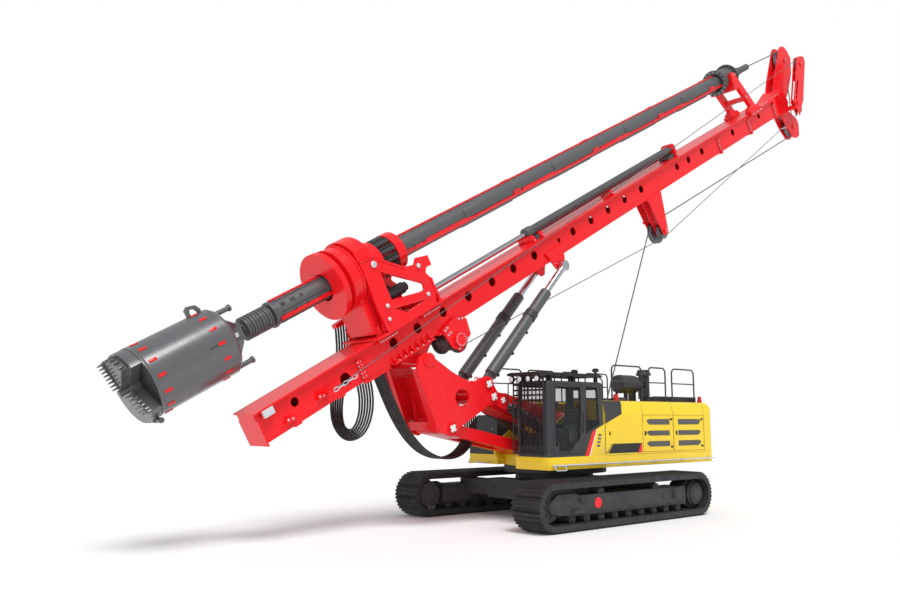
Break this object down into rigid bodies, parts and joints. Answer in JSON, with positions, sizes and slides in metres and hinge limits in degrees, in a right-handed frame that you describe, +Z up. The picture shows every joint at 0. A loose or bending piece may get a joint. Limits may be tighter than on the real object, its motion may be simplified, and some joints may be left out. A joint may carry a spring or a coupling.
{
  "type": "rotary piling rig",
  "caption": "Tracked rotary piling rig with its mast laid back, a telescopic kelly bar, a rotary drive and a drilling bucket.",
  "frame": {"origin": "on the ground under the slewing axis, midway between the tracks", "axes": "+X forward over the cab, +Y to the machine's left, +Z up"},
  "size_m": [24.4984, 4.78, 15.898],
  "materials": {
    "undercarriage_steel": "satin",
    "track_steel": "worn",
    "red_paint": "gloss",
    "yellow_paint": "gloss",
    "dark_paint": "satin",
    "grey_paint": "satin",
    "chrome_rod": "polished",
    "sheave_steel": "turned",
    "engine_iron": "rough",
    "glass": "clear",
    "seat_cloth": "woven",
    "lens_red": "clear lens"
  },
  "bodies": {
    "car_body": {"car_body": "undercarriage_steel"},
    "track_side_left": {"track_frame_left": "undercarriage_steel", "track_left": "track_steel"},
    "track_side_right": {"track_frame_right": "undercarriage_steel", "track_right": "track_steel"},
    "upper": {"upper_frame": "yellow_paint", "house_shell": "yellow_paint", "engine_block": "engine_iron", "counterweight": "yellow_paint", "winch_stand": "dark_paint", "right_box": "yellow_paint", "right_cover": "dark_paint", "cab_shell": "dark_paint", "cab_guard": "dark_paint", "cab_glass": "glass", "cab_seat": "seat_cloth", "roof_deck": "dark_paint", "handrails": "dark_paint", "air_cleaner": "dark_paint", "beacons": "lens_red"},
    "cab_door": {"cab_door": "dark_paint", "cab_door_glass": "glass"},
    "hood_door_left_mid": {"hood_door_left_mid": "yellow_paint"},
    "hood_door_left_rear": {"hood_door_left_rear": "yellow_paint"},
    "hood_door_right_mid": {"hood_door_right_mid": "yellow_paint"},
    "hood_door_right_rear": {"hood_door_right_rear": "yellow_paint"},
    "main_winch": {"main_winch_drum": "dark_paint"},
    "boom": {"boom": "red_paint"},
    "lower_link": {"lower_link": "red_paint"},
    "delta": {"delta": "red_paint"},
    "luff_barrels": {"luff_barrels": "grey_paint"},
    "luff_rods": {"luff_rods": "chrome_rod"},
    "tilt_barrels": {"tilt_barrels": "grey_paint"},
    "tilt_rods": {"tilt_rods": "chrome_rod"},
    "mast": {"mast_lower": "red_paint", "mast_main": "red_paint", "mast_upper": "red_paint", "mast_head": "red_paint", "crowd_barrel": "grey_paint"},
    "drive": {"drive_carriage": "red_paint", "drive_gearbox": "red_paint", "drive_motors": "dark_paint", "crowd_rod": "chrome_rod"},
    "drive_sleeve": {"drive_sleeve": "red_paint", "sleeve_buffers": "dark_paint"},
    "kelly_guide": {"kelly_guide": "grey_paint", "guide_frame": "red_paint"},
    "kelly_outer": {"kelly_outer": "grey_paint", "kelly_keys": "red_paint"},
    "kelly_inner": {"kelly_inner": "grey_paint", "bucket": "grey_paint"},
    "bucket_door": {"bucket_door": "grey_paint"},
    "aux_winch": {"aux_winch_drum": "dark_paint"},
    "head_sheave_front": {"head_sheave_front": "sheave_steel"},
    "head_sheave_rear": {"head_sheave_rear": "sheave_steel"},
    "rope_sheave_main": {"rope_sheave_main": "sheave_steel"},
    "rope_sheave_aux": {"rope_sheave_aux": "sheave_steel"},
    "head_sheave_aux": {"head_sheave_aux": "sheave_steel"}
  },
  "joints": [
    {"name": "track_left_extend", "type": "slide", "parent": "car_body", "child": "track_side_left", "axis": [0, 1, 0], "range_m": [-0.64, 0]},
    {"name": "track_right_extend", "type": "slide", "parent": "car_body", "child": "track_side_right", "axis": [0, -1, 0], "range_m": [-0.64, 0]},
    {"name": "swing", "type": "hinge", "parent": "car_body", "child": "upper", "pos_m": [0, 0, 1.2], "axis": [0, 0, 1], "continuous": true},
    {"name": "boom_luff", "type": "hinge", "parent": "upper", "child": "boom", "pos_m": [0.09, 0, 2.31], "axis": [0, -1, 0], "range_deg": [-5, 32]},
    {"name": "delta_level", "type": "hinge", "parent": "boom", "child": "delta", "pos_m": [2.68, 0, 2.82], "axis": [0, -1, 0], "range_deg": [-33, 6]},
    {"name": "lower_link_swing", "type": "hinge", "parent": "upper", "child": "lower_link", "pos_m": [1.3, 0, 1.62], "axis": [0, -1, 0], "range_deg": [-6, 33]},
    {"name": "luff_cylinder_swing", "type": "hinge", "parent": "upper", "child": "luff_barrels", "pos_m": [0.35, 0, 1.8], "axis": [0, -1, 0], "range_deg": [-6, 33]},
    {"name": "luff_cylinder_stroke", "type": "slide", "parent": "luff_barrels", "child": "luff_rods", "axis": [0.8981, 0, 0.4398], "range_m": [-0.06, 0.32]},
    {"name": "mast_tilt", "type": "hinge", "parent": "delta", "child": "mast", "pos_m": [4.53, 0, 3.56], "axis": [0, 1, 0], "range_deg": [-29, 65]},
    {"name": "tilt_cylinder_swing", "type": "hinge", "parent": "delta", "child": "tilt_barrels", "pos_m": [2.83, 0, 3.1], "axis": [0, 1, 0], "range_deg": [-31, 69]},
    {"name": "tilt_cylinder_stroke", "type": "slide", "parent": "tilt_barrels", "child": "tilt_rods", "axis": [-0.6761, 0, 0.7369], "range_m": [-0.77, 1.71]},
    {"name": "drive_crowd", "type": "slide", "parent": "mast", "child": "drive", "axis": [-0.8721, 0, 0.4894], "range_m": [-2, 3]},
    {"name": "drive_sleeve_spin", "type": "hinge", "parent": "drive", "child": "drive_sleeve", "pos_m": [6.49034, 0, 5.09673], "axis": [-0.8721, 0, 0.4894], "continuous": true},
    {"name": "kelly_travel", "type": "slide", "parent": "mast", "child": "kelly_guide", "axis": [-0.8721, 0, 0.4894], "range_m": [-10, 0.5]},
    {"name": "kelly_spin", "type": "hinge", "parent": "kelly_guide", "child": "kelly_outer", "pos_m": [0.38586, 0, 8.5224], "axis": [-0.8721, 0, 0.4894], "continuous": true},
    {"name": "kelly_extend", "type": "slide", "parent": "kelly_outer", "child": "kelly_inner", "axis": [-0.8721, 0, 0.4894], "range_m": [-12, 0]},
    {"name": "bucket_door_open", "type": "hinge", "parent": "kelly_inner", "child": "bucket_door", "pos_m": [10.04421, 0, 2.32837], "axis": [0, 1, 0], "range_deg": [0, 80]},
    {"name": "aux_winch_turn", "type": "hinge", "parent": "mast", "child": "aux_winch", "pos_m": [3.50161, 0, 4.06199], "axis": [0, 1, 0], "continuous": true},
    {"name": "head_sheave_front_turn", "type": "hinge", "parent": "mast", "child": "head_sheave_front", "pos_m": [-12.65654, 0, 15.35985], "axis": [0, 1, 0], "continuous": true},
    {"name": "head_sheave_rear_turn", "type": "hinge", "parent": "mast", "child": "head_sheave_rear", "pos_m": [-13.04086, 0, 12.93811], "axis": [0, 1, 0], "continuous": true},
    {"name": "rope_sheave_main_turn", "type": "hinge", "parent": "mast", "child": "rope_sheave_main", "pos_m": [-4.5274, 0, 7.7363], "axis": [0, 1, 0], "continuous": true},
    {"name": "rope_sheave_aux_turn", "type": "hinge", "parent": "mast", "child": "rope_sheave_aux", "pos_m": [-4.5274, 0, 7.7363], "axis": [0, 1, 0], "continuous": true},
    {"name": "head_sheave_aux_turn", "type": "hinge", "parent": "mast", "child": "head_sheave_aux", "pos_m": [-12.90418, 0, 15.14334], "axis": [0, 1, 0], "continuous": true},
    {"name": "main_winch_turn", "type": "hinge", "parent": "upper", "child": "main_winch", "pos_m": [-1.5, 0, 2.35], "axis": [0, 1, 0], "continuous": true},
    {"name": "cab_door_open", "type": "hinge", "parent": "upper", "child": "cab_door", "pos_m": [0.958, 1.75, 2.3], "axis": [0, 0, 1], "range_deg": [0, 95]},
    {"name": "hood_door_left_mid_open", "type": "hinge", "parent": "upper", "child": "hood_door_left_mid", "pos_m": [-2.492, 1.75, 2.1], "axis": [0, 0, 1], "range_deg": [0, 100]},
    {"name": "hood_door_left_rear_open", "type": "hinge", "parent": "upper", "child": "hood_door_left_rear", "pos_m": [-3.852, 1.75, 2.1], "axis": [0, 0, 1], "range_deg": [0, 100]},
    {"name": "hood_door_right_mid_open", "type": "hinge", "parent": "upper", "child": "hood_door_right_mid", "pos_m": [-2.492, -1.75, 2.1], "axis": [0, 0, -1], "range_deg": [0, 100]},
    {"name": "hood_door_right_rear_open", "type": "hinge", "parent": "upper", "child": "hood_door_right_rear", "pos_m": [-3.852, -1.75, 2.1], "axis": [0, 0, -1], "range_deg": [0, 100]}
  ],
  "couplings": [
    {"joint": "delta_level", "follows": "boom_luff", "ratio": -1},
    {"joint": "lower_link_swing", "follows": "boom_luff", "ratio": 1},
    {"joint": "luff_cylinder_swing", "follows": "boom_luff", "ratio": 0.96},
    {"joint": "luff_cylinder_stroke", "follows": "boom_luff", "m_per_rad": 0.555},
    {"joint": "tilt_cylinder_swing", "follows": "mast_tilt", "ratio": 1.05},
    {"joint": "tilt_cylinder_stroke", "follows": "mast_tilt", "m_per_rad": 1.5},
    {"joint": "drive_sleeve_spin", "follows": "kelly_spin", "ratio": 1}
  ]
}
